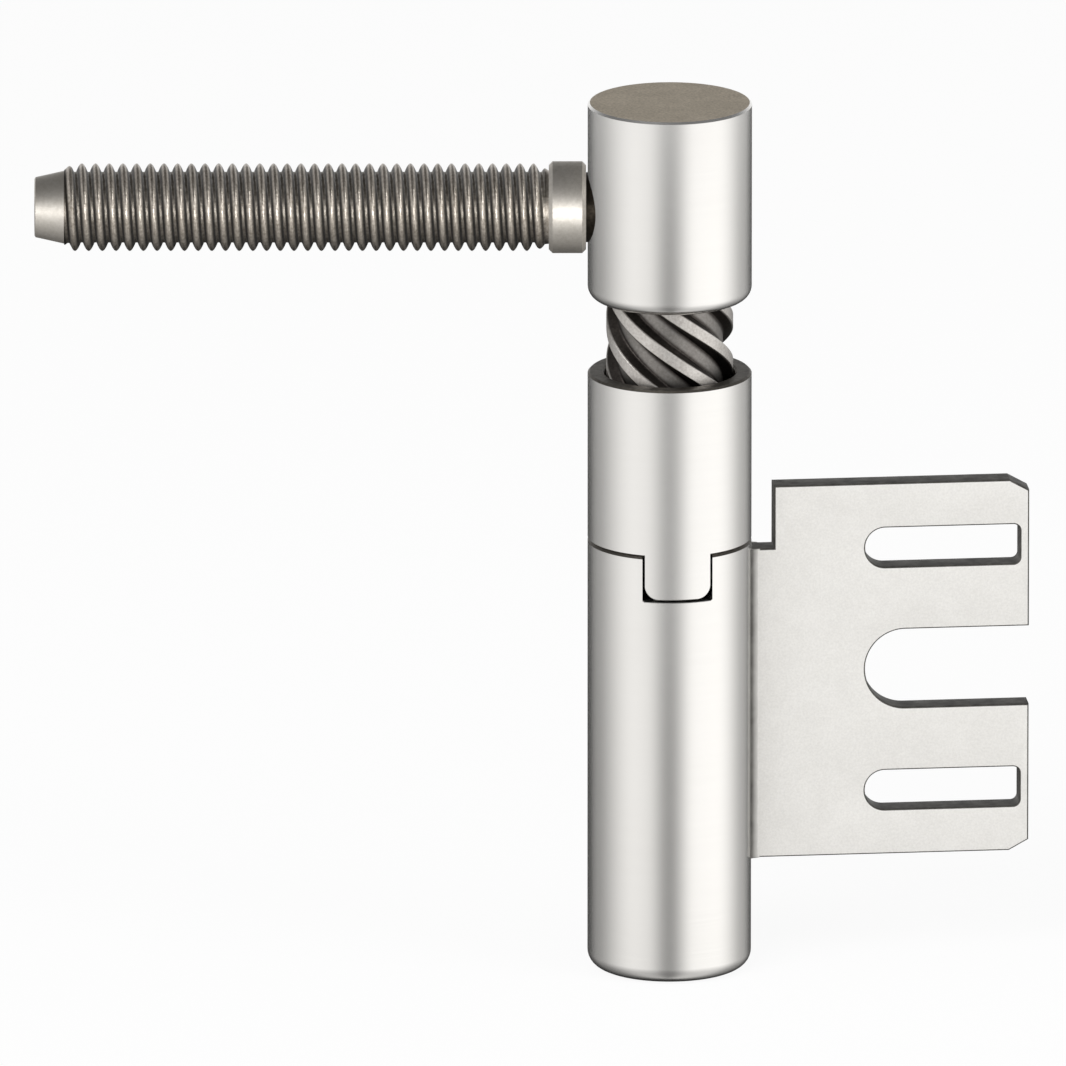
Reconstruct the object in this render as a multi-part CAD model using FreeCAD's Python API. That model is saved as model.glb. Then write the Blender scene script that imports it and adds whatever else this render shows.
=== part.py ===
import FreeCAD, Part
import math
import os

# Rising hinge with a drill-in stud for the door and a slotted plate for a steel frame.
# Millimetres. The hinge axis is Z, and the origin is the middle of the frame knuckle's foot.
# The plate points to +X. A closed door lies towards -Y, and it opens clockwise seen from above.

# Swing and rise
lead = 25.0                     # rise for one full turn of the left-hand helix
swing_full = 180.0              # from closed to fully open
swing_shown = 96.0              # opening at which the hinge is drawn
closed_gap = 0.25               # between door knuckle and sleeve when the door is closed

# Rising spindle
start_count = 6
crest_diameter = 11.6
groove_depth = 0.95
land_angle = 17.0               # of one crest, about the axis
root_angle = 26.0               # of one groove floor, about the axis
first_land_angle = 32.3         # of one crest at Z = 0, from +X
shank_shoulder = 0.35           # step from groove floor to the pressed shank
journal_diameter = 6.0
journal_shoulder = 0.8          # step that the guide bush bears on
thread_chamfer = 0.6            # lead-in at the thread's foot
thread_run_out = 1.0            # swept past both ends of a thread, then cut off flat

# Nut and sleeve around the spindle
thread_clearance = 0.2          # all round between spindle and nut
nut_wall = 0.6
nut_length = 5.0
sleeve_wall = 0.88
sleeve_length = 15.8
sleeve_lip = 1.2                # rim rolled in over the nut
tongue_width = 6.0
tongue_height = 4.0
tongue_corner = 1.2

# Door knuckle
door_knuckle_length = 18.4
door_knuckle_cap = 3.4          # solid metal above the blind bore
door_knuckle_round = 1.2        # of the lower edge
stud_below_middle = 0.7         # stud axis under the middle of the knuckle

# Drill-in stud
stud_diameter = 8.0
stud_thread_length = 44.25
stud_tip_length = 2.7
stud_tip_diameter = 5.5
stud_collar_diameter = 8.4
stud_collar_length = 3.4
stud_collar_chamfer = 0.35
stud_neck_diameter = 6.4
stud_pilot_diameter = 4.6       # end that locks the spindle's shank
stud_pilot_depth = 3.0          # of that end, in the shank
stud_standoff = 0.15            # collar to the knuckle's skin

# Frame knuckle
frame_knuckle_length = 40.5
frame_knuckle_round = 1.5       # of the lower edge
bore_clearance = 0.3            # round the spindle, in the counterbore
end_clearance = 2.0             # under the spindle and under its journal
edge_break = 0.2                # small chamfer on turned edges
round_steps = 3                 # turning cuts that make up a rounded edge

# Guide bush on the journal, and the ring that keeps it there
bush_length = 8.0
bush_wall = 1.4
ring_thickness = 0.8
ring_width = 1.0
ring_groove_depth = 0.5
ring_gap_angle = 70.0
journal_end = 1.2               # of the journal below its ring

# Frame plate
plate_thickness = 2.5
plate_width = 23.5
plate_height = 35.2
plate_above_foot = 10.2
plate_offset = 2.0              # free gap between the barrel and the plate's upper part
plate_neck_drop = 1.0           # neck under the frame knuckle's rim
plate_seat_depth = 1.1          # of the neck, in the knuckle's wall
plate_corner_x = 1.8
plate_corner_z = 1.0
weld_leg = 0.7
slot_length = 14.25
slot_height = 3.7
slot_corner = 0.6
slot_edge = 4.25                # metal between a slot and the plate's long edge
slot_end_land = 0.85            # metal between a slot and the plate's free end
fork_height = 7.4               # open slot between the two closed ones

# Fits
press_clearance = 0.02          # pieces that are pressed or welded together
running_clearance = 0.05        # pieces that turn or slide on each other
notch_clearance = 0.22          # round the sleeve's tongue

# Sizes that follow from those above
crest_radius = crest_diameter / 2
root_radius = crest_radius - groove_depth
nut_radius = crest_radius + thread_clearance + nut_wall
sleeve_bore = nut_radius + press_clearance
barrel_radius = sleeve_bore + sleeve_wall
lip_radius = crest_radius + thread_clearance
shank_radius = root_radius - shank_shoulder
journal_radius = journal_diameter / 2
journal_neck_radius = journal_radius + journal_shoulder
bush_bore = journal_radius + running_clearance
bush_radius = bush_bore + bush_wall
guide_bore = bush_radius + running_clearance
counterbore = crest_radius + bore_clearance

rise_full = lead * swing_full / 360
rise_shown = lead * swing_shown / 360
sleeve_top = frame_knuckle_length + sleeve_length
door_knuckle_foot = sleeve_top + closed_gap
shank_length = door_knuckle_length - door_knuckle_cap
nut_top = sleeve_top - sleeve_lip
nut_foot = nut_top - nut_length
helix_length = closed_gap + rise_full + sleeve_lip + nut_length
helix_foot = door_knuckle_foot - helix_length
counterbore_floor = helix_foot - end_clearance
bush_top = counterbore_floor - rise_full - running_clearance
bush_foot = bush_top - bush_length
ring_top = bush_foot - 2 * running_clearance
ring_foot = ring_top - ring_thickness
journal_foot = ring_foot - journal_end
guide_floor = journal_foot - end_clearance
stud_height = door_knuckle_foot + door_knuckle_length / 2 - stud_below_middle
stud_collar_start = barrel_radius + stud_standoff

plate_start = barrel_radius + plate_offset
plate_end = plate_start + plate_width
plate_middle = plate_above_foot + plate_height / 2
slot_end = plate_end - slot_end_land
slot_start = slot_end - slot_length
slot_offset = plate_height / 2 - slot_edge - slot_height / 2

up = FreeCAD.Vector(0, 0, 1)
centre = FreeCAD.Vector(0, 0, 0)


def cylinder(radius, low, high):
    return Part.makeCylinder(radius, high - low, FreeCAD.Vector(0, 0, low))


def box(x_range, y_range, z_range):
    sides = [high - low for low, high in (x_range, y_range, z_range)]
    return Part.makeBox(*sides, FreeCAD.Vector(x_range[0], y_range[0], z_range[0]))


def rim(shape, radius, height):
    """Circular edges of a turned piece at one radius and height."""
    return [
        edge for edge in shape.Edges
        if isinstance(edge.Curve, Part.Circle)
        and abs(edge.Curve.Radius - radius) < 1e-6
        and abs(edge.Curve.Center.z - height) < 1e-6
    ]


def turned(profile):
    """Solid of revolution about Z from corners given as (radius, height)."""
    corners = [FreeCAD.Vector(radius, 0, height) for radius, height in profile]
    return Part.Face(Part.makePolygon(corners + corners[:1])).revolve(centre, up, 360)


def polar(radius, angle):
    return FreeCAD.Vector(radius * math.cos(angle), radius * math.sin(angle), 0)


def barrel(low, high, foot_round):
    """Barrel piece turned with a rounded lower edge and a small break on its upper edge."""
    profile = [(0, low)]
    for step in range(round_steps + 1):
        angle = math.pi / 2 * step / round_steps
        radius = barrel_radius - foot_round * (1 - math.sin(angle))
        profile.append((radius, low + foot_round * (1 - math.cos(angle))))
    profile.append((barrel_radius, high - edge_break))
    profile.append((barrel_radius - edge_break, high))
    profile.append((0, high))
    return turned(profile)


def star_section(crest, root, land, floor):
    """Star wire whose straight flanks run from a land's edge at the crest to a floor's edge at the root."""
    step = 2 * math.pi / start_count
    land_edge = math.radians(land) / 2
    floor_edge = step / 2 - math.radians(floor) / 2
    spread = math.sin(floor_edge - land_edge)
    along = (math.sin(floor_edge) / crest - math.sin(land_edge) / root) / spread
    across = (math.cos(land_edge) / root - math.cos(floor_edge) / crest) / spread
    tip = 1 / along
    valley = 1 / (along * math.cos(step / 2) + across * math.sin(step / 2))
    points = []
    for start in range(start_count):
        points.append(polar(tip, start * step))
        points.append(polar(valley, (start + 0.5) * step))
    return Part.makePolygon(points + points[:1])


def threaded_core(clearance, low, high):
    """The spindle's thread, grown all round by a clearance: a star carried up a left-hand screw,
    cut back to true cylinders at crest and root. All such bodies share one thread."""
    crest = crest_radius + clearance
    root = root_radius + clearance
    side_play = 2 * math.degrees(clearance / crest_radius)
    section = star_section(crest, root, land_angle + side_play, root_angle - side_play)
    sweep_foot = low - thread_run_out
    path = Part.makeHelix(lead, high + thread_run_out - sweep_foot, crest_radius, 0, True)
    sweep = Part.BRepOffsetAPI.MakePipeShell(path)
    sweep.setFrenetMode(True)
    sweep.add(section, False, False)
    sweep.build()
    sweep.makeSolid()
    star = sweep.shape()
    star.rotate(centre, up, first_land_angle - 360 * sweep_foot / lead)
    star.translate(up * sweep_foot)
    blank = cylinder(crest, low, high)
    blank = blank.makeChamfer(thread_chamfer, rim(blank, crest, low))
    return star.common(blank).fuse(cylinder(root, low, high)).removeSplitter()


def rising_spindle():
    thread = threaded_core(0, helix_foot, door_knuckle_foot)
    shank_top = door_knuckle_foot + shank_length - press_clearance
    shank = cylinder(shank_radius, door_knuckle_foot, shank_top)
    shank = shank.makeChamfer(edge_break, rim(shank, shank_radius, shank_top))
    pilot_hole = Part.makeCylinder(
        stud_pilot_diameter / 2 + press_clearance,
        barrel_radius,
        FreeCAD.Vector(0, -barrel_radius, stud_height),
        FreeCAD.Vector(0, 1, 0),
    )
    floor = box((-barrel_radius, barrel_radius), (stud_pilot_depth - shank_radius, barrel_radius),
                (door_knuckle_foot, shank_top))
    shank = shank.cut(pilot_hole.cut(floor))
    groove_radius = journal_radius - ring_groove_depth
    journal = turned([
        (0, helix_foot),
        (journal_neck_radius, helix_foot),
        (journal_neck_radius, bush_top + running_clearance),
        (journal_radius, bush_top + running_clearance),
        (journal_radius, ring_top + press_clearance),
        (groove_radius, ring_top + press_clearance),
        (groove_radius, ring_foot - press_clearance),
        (journal_radius, ring_foot - press_clearance),
        (journal_radius, journal_foot + ring_groove_depth),
        (groove_radius, journal_foot),
        (0, journal_foot),
    ])
    return thread.fuse([shank, journal])


def riser_nut():
    body = cylinder(nut_radius, nut_foot, nut_top - press_clearance)
    overrun = thread_chamfer + thread_clearance
    return body.cut(threaded_core(thread_clearance, nut_foot - overrun, nut_top + overrun))


def tongue_outline(width, low, corner):
    """Flat key shape in the XZ plane, from the sleeve's lower rim down, with rounded lower corners."""
    half = width / 2
    high = frame_knuckle_length + tongue_height
    key = box((-half, half), (-2 * barrel_radius, 0), (low, high))
    lower = [
        edge for edge in key.Edges
        if all(abs(vertex.Z - low) < 1e-6 and abs(abs(vertex.X) - half) < 1e-6 for vertex in edge.Vertexes)
    ]
    return key.makeFillet(corner, lower) if corner else key


def riser_sleeve():
    tongue_foot = frame_knuckle_length - tongue_height
    tube = cylinder(barrel_radius, frame_knuckle_length, sleeve_top)
    tube = tube.makeChamfer(edge_break, rim(tube, barrel_radius, sleeve_top))
    tube = tube.makeChamfer(edge_break, rim(tube, barrel_radius, frame_knuckle_length))
    tube = tube.cut(cylinder(counterbore, frame_knuckle_length, nut_foot))
    tube = tube.cut(cylinder(sleeve_bore, nut_foot, nut_top))
    tube = tube.cut(cylinder(lip_radius, nut_top, sleeve_top))
    tube = tube.makeChamfer(edge_break, rim(tube, lip_radius, sleeve_top))
    skin = cylinder(barrel_radius, tongue_foot, nut_foot)
    skin = skin.cut(cylinder(counterbore, tongue_foot, nut_foot))
    tongue = skin.common(tongue_outline(tongue_width, tongue_foot, tongue_corner))
    return tube.fuse(tongue).removeSplitter()


def frame_knuckle():
    rim_height = frame_knuckle_length
    body = barrel(0, rim_height, frame_knuckle_round)
    body = body.cut(cylinder(counterbore, counterbore_floor, rim_height))
    body = body.cut(cylinder(guide_bore, guide_floor, rim_height))
    notch_foot = rim_height - tongue_height - notch_clearance
    body = body.cut(tongue_outline(tongue_width + 2 * notch_clearance, notch_foot, edge_break))
    return body.cut(plate_neck(press_clearance))


def plate_neck(margin):
    """The plate's inner strip, which stands in a slot in the frame knuckle's wall."""
    half = plate_thickness / 2 + margin
    return box(
        (barrel_radius - plate_seat_depth - margin, plate_start + plate_corner_x),
        (-half, half),
        (plate_above_foot - margin, frame_knuckle_length - plate_neck_drop + margin),
    )


def plate_blank():
    low = plate_above_foot
    high = plate_above_foot + plate_height
    corners = [
        (plate_start, low),
        (plate_end - plate_corner_x, low),
        (plate_end, low + plate_corner_z),
        (plate_end, high - plate_corner_z),
        (plate_end - plate_corner_x, high),
        (plate_start, high),
    ]
    points = [FreeCAD.Vector(x, -plate_thickness / 2, z) for x, z in corners]
    outline = Part.Face(Part.makePolygon(points + points[:1]))
    return outline.extrude(FreeCAD.Vector(0, plate_thickness, 0))


def closed_slot(height):
    """Punched slot: half round towards the barrel, square with small corners at the free end."""
    depth = (-plate_thickness, plate_thickness)
    half = slot_height / 2
    body = box((slot_start + half, slot_end), depth, (height - half, height + half))
    corners = [
        edge for edge in body.Edges
        if all(abs(vertex.X - slot_end) < 1e-6 for vertex in edge.Vertexes)
        and abs(edge.Vertexes[0].Z - edge.Vertexes[-1].Z) < 1e-6
    ]
    body = body.makeFillet(slot_corner, corners)
    return body.fuse(slot_round(slot_start + half, half, height))


def slot_round(x, radius, height):
    foot = FreeCAD.Vector(x, -plate_thickness, height)
    return Part.makeCylinder(radius, 2 * plate_thickness, foot, FreeCAD.Vector(0, 1, 0))


def open_fork():
    half = fork_height / 2
    middle = slot_start + half
    depth = (-plate_thickness, plate_thickness)
    straight = box((middle, plate_end + half), depth, (plate_middle - half, plate_middle + half))
    return straight.fuse(slot_round(middle, half, plate_middle))


def weld_seam(side):
    """Hollow fillet of weld metal in the corner between one plate face and the barrel."""
    face = side * plate_thickness / 2
    skin = math.sqrt(barrel_radius ** 2 - (plate_thickness / 2 + weld_leg) ** 2)
    low = plate_above_foot
    length = frame_knuckle_length - plate_neck_drop - low
    points = [
        FreeCAD.Vector(barrel_radius - plate_seat_depth, face, low),
        FreeCAD.Vector(barrel_radius + weld_leg, face, low),
        FreeCAD.Vector(skin, face + side * weld_leg, low),
        FreeCAD.Vector(barrel_radius - plate_seat_depth, face + side * weld_leg, low),
    ]
    hollow = FreeCAD.Vector(barrel_radius + weld_leg / 4, face + side * weld_leg / 4, low)
    outline = Part.Wire([
        Part.LineSegment(points[0], points[1]).toShape(),
        Part.Arc(points[1], hollow, points[2]).toShape(),
        Part.LineSegment(points[2], points[3]).toShape(),
        Part.LineSegment(points[3], points[0]).toShape(),
    ])
    seam = Part.Face(outline).extrude(up * length)
    return seam.cut(cylinder(barrel_radius, 0, frame_knuckle_length))


def frame_plate():
    plate = plate_blank().fuse([plate_neck(0), weld_seam(1), weld_seam(-1)])
    for height in (plate_middle - slot_offset, plate_middle + slot_offset):
        plate = plate.cut(closed_slot(height))
    return plate.cut(open_fork()).removeSplitter()


def door_knuckle():
    foot = door_knuckle_foot
    body = barrel(foot, foot + door_knuckle_length, door_knuckle_round)
    body = body.cut(cylinder(shank_radius + press_clearance, foot, foot + shank_length))
    neck_hole = Part.makeCylinder(
        stud_neck_diameter / 2 + press_clearance,
        barrel_radius,
        FreeCAD.Vector(0, -barrel_radius, stud_height),
        FreeCAD.Vector(0, 1, 0),
    )
    return body.cut(neck_hole)


def door_stud():
    """Turned along Z from its inner end, then laid along -Y at its height in the door knuckle."""
    thread_start = stud_collar_start + stud_collar_length
    thread_end = thread_start + stud_thread_length
    collar_radius = stud_collar_diameter / 2
    neck_end = shank_radius + press_clearance
    stud = turned([
        (0, shank_radius - stud_pilot_depth + press_clearance),
        (stud_pilot_diameter / 2, shank_radius - stud_pilot_depth + press_clearance),
        (stud_pilot_diameter / 2, neck_end),
        (stud_neck_diameter / 2, neck_end),
        (stud_neck_diameter / 2, stud_collar_start),
        (collar_radius - stud_collar_chamfer, stud_collar_start),
        (collar_radius, stud_collar_start + stud_collar_chamfer),
        (collar_radius, thread_start - stud_collar_chamfer),
        (collar_radius - stud_collar_chamfer, thread_start),
        (stud_diameter / 2, thread_start),
        (stud_diameter / 2, thread_end),
        (stud_tip_diameter / 2, thread_end + stud_tip_length),
        (0, thread_end + stud_tip_length),
    ])
    stud.rotate(centre, FreeCAD.Vector(1, 0, 0), 90)
    stud.translate(up * stud_height)
    return stud


def guide_bush():
    bush = cylinder(bush_radius, bush_foot, bush_top)
    return bush.cut(cylinder(bush_bore, bush_foot, bush_top))


def retaining_ring():
    inner = journal_radius - ring_groove_depth + press_clearance
    ring = cylinder(inner + ring_width, ring_foot, ring_top).cut(cylinder(inner, ring_foot, ring_top))
    mouth = Part.makeCylinder(barrel_radius, ring_thickness, FreeCAD.Vector(0, 0, ring_foot), up, ring_gap_angle)
    return ring.cut(mouth)


def opened(shape):
    """A door-side piece, carried along the screw from the closed door to the opening shown."""
    shape.rotate(centre, up, -swing_shown)
    shape.translate(up * rise_shown)
    return shape


def lifted(shape):
    """A piece that rises with the door without turning."""
    shape.translate(up * rise_shown)
    return shape


pieces = {
    "frame_knuckle": frame_knuckle(),
    "frame_plate": frame_plate(),
    "riser_sleeve": riser_sleeve(),
    "riser_nut": riser_nut(),
    "guide_bush": lifted(guide_bush()),
    "rising_spindle": opened(rising_spindle()),
    "retaining_ring": opened(retaining_ring()),
    "door_knuckle": opened(door_knuckle()),
    "door_stud": opened(door_stud()),
}

os.makedirs("parts", exist_ok=True)
for name, shape in pieces.items():
    box_found = shape.BoundBox
    print(
        f"{name}: {shape.ShapeType} valid {shape.isValid()} solids {len(shape.Solids)}"
        f" volume {shape.Volume:.2f} Z {box_found.ZMin:.2f} to {box_found.ZMax:.2f}"
        f" X {box_found.XMin:.2f} to {box_found.XMax:.2f}"
    )
    shape.exportStep(f"parts/{name}.step")
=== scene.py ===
import math
import bmesh
import bpy
import numpy as np
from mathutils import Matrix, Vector


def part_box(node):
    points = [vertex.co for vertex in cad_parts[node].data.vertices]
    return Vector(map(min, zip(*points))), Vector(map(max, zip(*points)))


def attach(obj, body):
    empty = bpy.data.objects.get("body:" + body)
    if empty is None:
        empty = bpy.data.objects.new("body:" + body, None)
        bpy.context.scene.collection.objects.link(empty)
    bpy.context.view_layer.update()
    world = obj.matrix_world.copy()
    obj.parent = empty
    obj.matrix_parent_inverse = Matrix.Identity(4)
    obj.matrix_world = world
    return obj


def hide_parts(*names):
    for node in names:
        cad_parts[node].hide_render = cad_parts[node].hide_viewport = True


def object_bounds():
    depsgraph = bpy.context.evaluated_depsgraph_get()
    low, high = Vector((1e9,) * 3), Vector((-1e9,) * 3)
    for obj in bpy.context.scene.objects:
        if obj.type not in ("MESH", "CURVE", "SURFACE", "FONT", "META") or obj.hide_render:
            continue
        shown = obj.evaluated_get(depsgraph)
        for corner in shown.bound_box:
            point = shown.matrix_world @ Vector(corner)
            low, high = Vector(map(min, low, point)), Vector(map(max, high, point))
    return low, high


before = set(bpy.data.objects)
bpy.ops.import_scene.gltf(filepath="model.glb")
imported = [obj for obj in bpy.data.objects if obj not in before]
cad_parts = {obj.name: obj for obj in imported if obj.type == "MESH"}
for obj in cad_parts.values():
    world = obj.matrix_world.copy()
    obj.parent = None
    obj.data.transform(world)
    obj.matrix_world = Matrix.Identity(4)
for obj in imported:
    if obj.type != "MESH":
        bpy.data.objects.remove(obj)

cadLow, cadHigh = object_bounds()
print("frame loaded", len(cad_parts), "nodes")

mm = 0.001  # scene units for one millimetre
scene = bpy.context.scene
scene.view_settings.view_transform = "Standard"

# Sizes that several pieces share, in millimetres
barrel = {
    "radius": 7.5,
    "edgeBreak": 0.2,
    "columns": 192,
    "keyColumns": 49,  # across a tongue or its notch
    "restColumns": 144,  # round the rest of a keyed wall
    "counterbore": 6.1,
}
hair = 0.01  # slack where heights are compared
stand = {
    "studAngle": 174.0,  # of the stud about the hinge axis, from +X
    "lead": 25.0,
    "firstLand": 32.3,  # land angle at height 0
    "starts": 6,
}


def heights(node):
    # Foot and top of a solid, in millimetres.
    low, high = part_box(node)
    return low[2] / mm, high[2] / mm


def putGrid(name, points, closeRows, closeColumns):
    # Quads between neighbouring points of a (rows, columns, 3) array; doubles at poles and seams are merged.
    rows, columns, _ = points.shape
    r = np.arange(rows if closeRows else rows - 1)
    c = np.arange(columns if closeColumns else columns - 1)
    rr, cc = np.meshgrid(r, c, indexing="ij")
    rn, cn = (rr + 1) % rows, (cc + 1) % columns
    quads = np.stack([rr * columns + cc, rr * columns + cn, rn * columns + cn, rn * columns + cc], axis=-1)
    mesh = bpy.data.meshes.new(name)
    mesh.from_pydata((points.reshape(-1, 3) * mm).tolist(), [], quads.reshape(-1, 4).tolist())
    obj = bpy.data.objects.new(name, mesh)
    scene.collection.objects.link(obj)
    return obj


def closeUp(obj, sharpAngle=32.0):
    # Merges doubles, drops faces without area, turns normals outwards and marks the hard edges.
    work = bmesh.new()
    work.from_mesh(obj.data)
    bmesh.ops.remove_doubles(work, verts=work.verts, dist=1e-6)
    bmesh.ops.dissolve_degenerate(work, dist=1e-7, edges=work.edges)
    bmesh.ops.recalc_face_normals(work, faces=work.faces)
    work.to_mesh(obj.data)
    work.free()
    obj.data.polygons.foreach_set("use_smooth", [True] * len(obj.data.polygons))
    obj.data.set_sharp_from_angle(angle=math.radians(sharpAngle))
    return obj


def quarterRound(radius, low, size, steps=10):
    # Points of a quarter circle from the foot's flat to the wall.
    turn = np.linspace(0, np.pi / 2, steps)
    return np.stack([radius - size * (1 - np.sin(turn)), low + size * (1 - np.cos(turn))], axis=-1)


def lathe(name, profile, columns):
    # Profile of (radius, height) turned about Z.
    turn = np.linspace(0, 2 * np.pi, columns, endpoint=False)
    r, z = profile[:, 0][:, None], profile[:, 1][:, None]
    points = np.stack([r * np.cos(turn), r * np.sin(turn), z + 0 * turn], axis=-1)
    return closeUp(putGrid(name, points, True, True))


def keyedLathe(name, profileAt, halfWidth, keyColumns, restColumns):
    # A turned wall with a flat-sided key on -Y. The column value s runs from -1 to 1 across the key, where a
    # point at radius r stands at arcsin(s * halfWidth / r), and from 1 to 3 round the rest of the barrel.
    across = np.sin(np.linspace(-np.pi / 2, np.pi / 2, keyColumns))
    rest = np.linspace(1, 3, restColumns)
    s = np.concatenate([across, rest])
    onKey = np.concatenate([np.ones(keyColumns, bool), np.zeros(restColumns, bool)])
    r, z = profileAt(s, onKey)
    edge = np.arcsin(np.clip(halfWidth / np.maximum(r, halfWidth), 0, 1))
    turn = np.where(
        onKey,
        np.arcsin(np.clip(s, -1, 1) * np.sin(edge)),
        edge + (s - 1) / 2 * (2 * np.pi - 2 * edge),
    )
    points = np.stack([r * np.sin(turn), -r * np.cos(turn), z], axis=-1)
    return closeUp(putGrid(name, points, True, True))


# Materials
def nodesOf(material):
    # A material's tree and its main shader.
    material.use_nodes = True
    tree = material.node_tree
    return tree, tree.nodes["Principled BSDF"]


def addNode(tree, kind, **settings):
    # A new node with its own settings.
    node = tree.nodes.new(kind)
    for key, value in settings.items():
        setattr(node, key, value)
    return node


def group(name, inputs, outputs):
    # An empty node group with named sockets, ready for its nodes.
    tree = bpy.data.node_groups.new(name, "ShaderNodeTree")
    for label, kind, value in inputs:
        socket = tree.interface.new_socket(label, in_out="INPUT", socket_type=kind)
        socket.default_value = value
    for label, kind in outputs:
        tree.interface.new_socket(label, in_out="OUTPUT", socket_type=kind)
    return tree, tree.nodes.new("NodeGroupInput"), tree.nodes.new("NodeGroupOutput")


def makeTurnedGrain():
    # Fine rings left by turning: noise squeezed along Z, with a slow drift of tone over the piece.
    tree, given, result = group(
        "turnedGrain",
        [
            ("Colour A", "NodeSocketColor", (0.8, 0.8, 0.8, 1)),
            ("Colour B", "NodeSocketColor", (0.7, 0.7, 0.7, 1)),
            ("Roughness", "NodeSocketFloat", 0.3),
            ("Spread", "NodeSocketFloat", 0.08),
        ],
        [("Colour", "NodeSocketColor"), ("Roughness", "NodeSocketFloat"), ("Height", "NodeSocketFloat")],
    )
    where = addNode(tree, "ShaderNodeTexCoord")
    squeeze = addNode(tree, "ShaderNodeMapping")
    squeeze.inputs["Scale"].default_value = (60, 60, 14000)
    rings = addNode(tree, "ShaderNodeTexNoise")
    rings.inputs["Scale"].default_value = 1.0
    rings.inputs["Detail"].default_value = 3.0
    drift = addNode(tree, "ShaderNodeTexNoise")
    drift.inputs["Scale"].default_value = 160.0
    drift.inputs["Detail"].default_value = 4.0
    blend = addNode(tree, "ShaderNodeMath", operation="MULTIPLY")
    tone = addNode(tree, "ShaderNodeMix", data_type="RGBA")
    centred = addNode(tree, "ShaderNodeMath", operation="SUBTRACT")
    centred.inputs[1].default_value = 0.5
    scaled = addNode(tree, "ShaderNodeMath", operation="MULTIPLY_ADD")
    join = tree.links.new
    join(where.outputs["Object"], squeeze.inputs["Vector"])
    join(squeeze.outputs["Vector"], rings.inputs["Vector"])
    join(where.outputs["Object"], drift.inputs["Vector"])
    join(rings.outputs["Fac"], blend.inputs[0])
    join(drift.outputs["Fac"], blend.inputs[1])
    join(blend.outputs[0], tone.inputs["Factor"])
    join(given.outputs["Colour A"], tone.inputs["A"])
    join(given.outputs["Colour B"], tone.inputs["B"])
    join(rings.outputs["Fac"], centred.inputs[0])
    join(centred.outputs[0], scaled.inputs[0])
    join(given.outputs["Spread"], scaled.inputs[1])
    join(given.outputs["Roughness"], scaled.inputs[2])
    join(tone.outputs["Result"], result.inputs["Colour"])
    join(scaled.outputs[0], result.inputs["Roughness"])
    join(rings.outputs["Fac"], result.inputs["Height"])
    return tree


def makeSpeckle():
    # Grain of matt plating: two sizes of noise for tone, roughness and height.
    tree, given, result = group(
        "platingSpeckle",
        [
            ("Colour A", "NodeSocketColor", (0.8, 0.8, 0.8, 1)),
            ("Colour B", "NodeSocketColor", (0.7, 0.7, 0.7, 1)),
            ("Scale", "NodeSocketFloat", 1500.0),
            ("Roughness", "NodeSocketFloat", 0.4),
            ("Spread", "NodeSocketFloat", 0.1),
        ],
        [("Colour", "NodeSocketColor"), ("Roughness", "NodeSocketFloat"), ("Height", "NodeSocketFloat")],
    )
    where = addNode(tree, "ShaderNodeTexCoord")
    fine = addNode(tree, "ShaderNodeTexNoise")
    fine.inputs["Detail"].default_value = 5.0
    fine.inputs["Roughness"].default_value = 0.65
    broad = addNode(tree, "ShaderNodeTexNoise")
    broad.inputs["Scale"].default_value = 420.0
    broad.inputs["Detail"].default_value = 3.0
    both = addNode(tree, "ShaderNodeMath", operation="MULTIPLY_ADD")
    both.inputs[1].default_value = 0.75
    share = addNode(tree, "ShaderNodeMath", operation="MULTIPLY")
    share.inputs[1].default_value = 0.25  # of the broad drift
    spreadTone = addNode(tree, "ShaderNodeMapRange")
    spreadTone.inputs["From Min"].default_value = 0.36
    spreadTone.inputs["From Max"].default_value = 0.64
    tone = addNode(tree, "ShaderNodeMix", data_type="RGBA")
    centred = addNode(tree, "ShaderNodeMath", operation="SUBTRACT")
    centred.inputs[1].default_value = 0.5
    scaled = addNode(tree, "ShaderNodeMath", operation="MULTIPLY_ADD")
    join = tree.links.new
    join(where.outputs["Object"], fine.inputs["Vector"])
    join(given.outputs["Scale"], fine.inputs["Scale"])
    join(where.outputs["Object"], broad.inputs["Vector"])
    join(broad.outputs["Fac"], share.inputs[0])
    join(fine.outputs["Fac"], both.inputs[0])
    join(share.outputs[0], both.inputs[2])
    join(both.outputs[0], spreadTone.inputs["Value"])
    join(spreadTone.outputs["Result"], tone.inputs["Factor"])
    join(given.outputs["Colour A"], tone.inputs["A"])
    join(given.outputs["Colour B"], tone.inputs["B"])
    join(both.outputs[0], centred.inputs[0])
    join(centred.outputs[0], scaled.inputs[0])
    join(given.outputs["Spread"], scaled.inputs[1])
    join(given.outputs["Roughness"], scaled.inputs[2])
    join(tone.outputs["Result"], result.inputs["Colour"])
    join(scaled.outputs[0], result.inputs["Roughness"])
    join(fine.outputs["Fac"], result.inputs["Height"])
    return tree


turnedGrain = makeTurnedGrain()
platingSpeckle = makeSpeckle()
bumpDistance = 0.00004  # metres


def useGroup(tree, groupTree, **values):
    # A group in a material's tree, with values for its sockets; an underscore stands for a space.
    node = addNode(tree, "ShaderNodeGroup", node_tree=groupTree)
    for label, value in values.items():
        node.inputs[label.replace("_", " ")].default_value = value
    return node


def finishFrom(tree, shader, source, bump, metallic=1.0):
    # Joins a group's colour, roughness and height to the shader.
    height = addNode(tree, "ShaderNodeBump")
    height.inputs["Strength"].default_value = bump
    height.inputs["Distance"].default_value = bumpDistance
    join = tree.links.new
    join(source.outputs["Colour"], shader.inputs["Base Color"])
    join(source.outputs["Roughness"], shader.inputs["Roughness"])
    join(source.outputs["Height"], height.inputs["Height"])
    join(height.outputs["Normal"], shader.inputs["Normal"])
    shader.inputs["Metallic"].default_value = metallic


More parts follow.
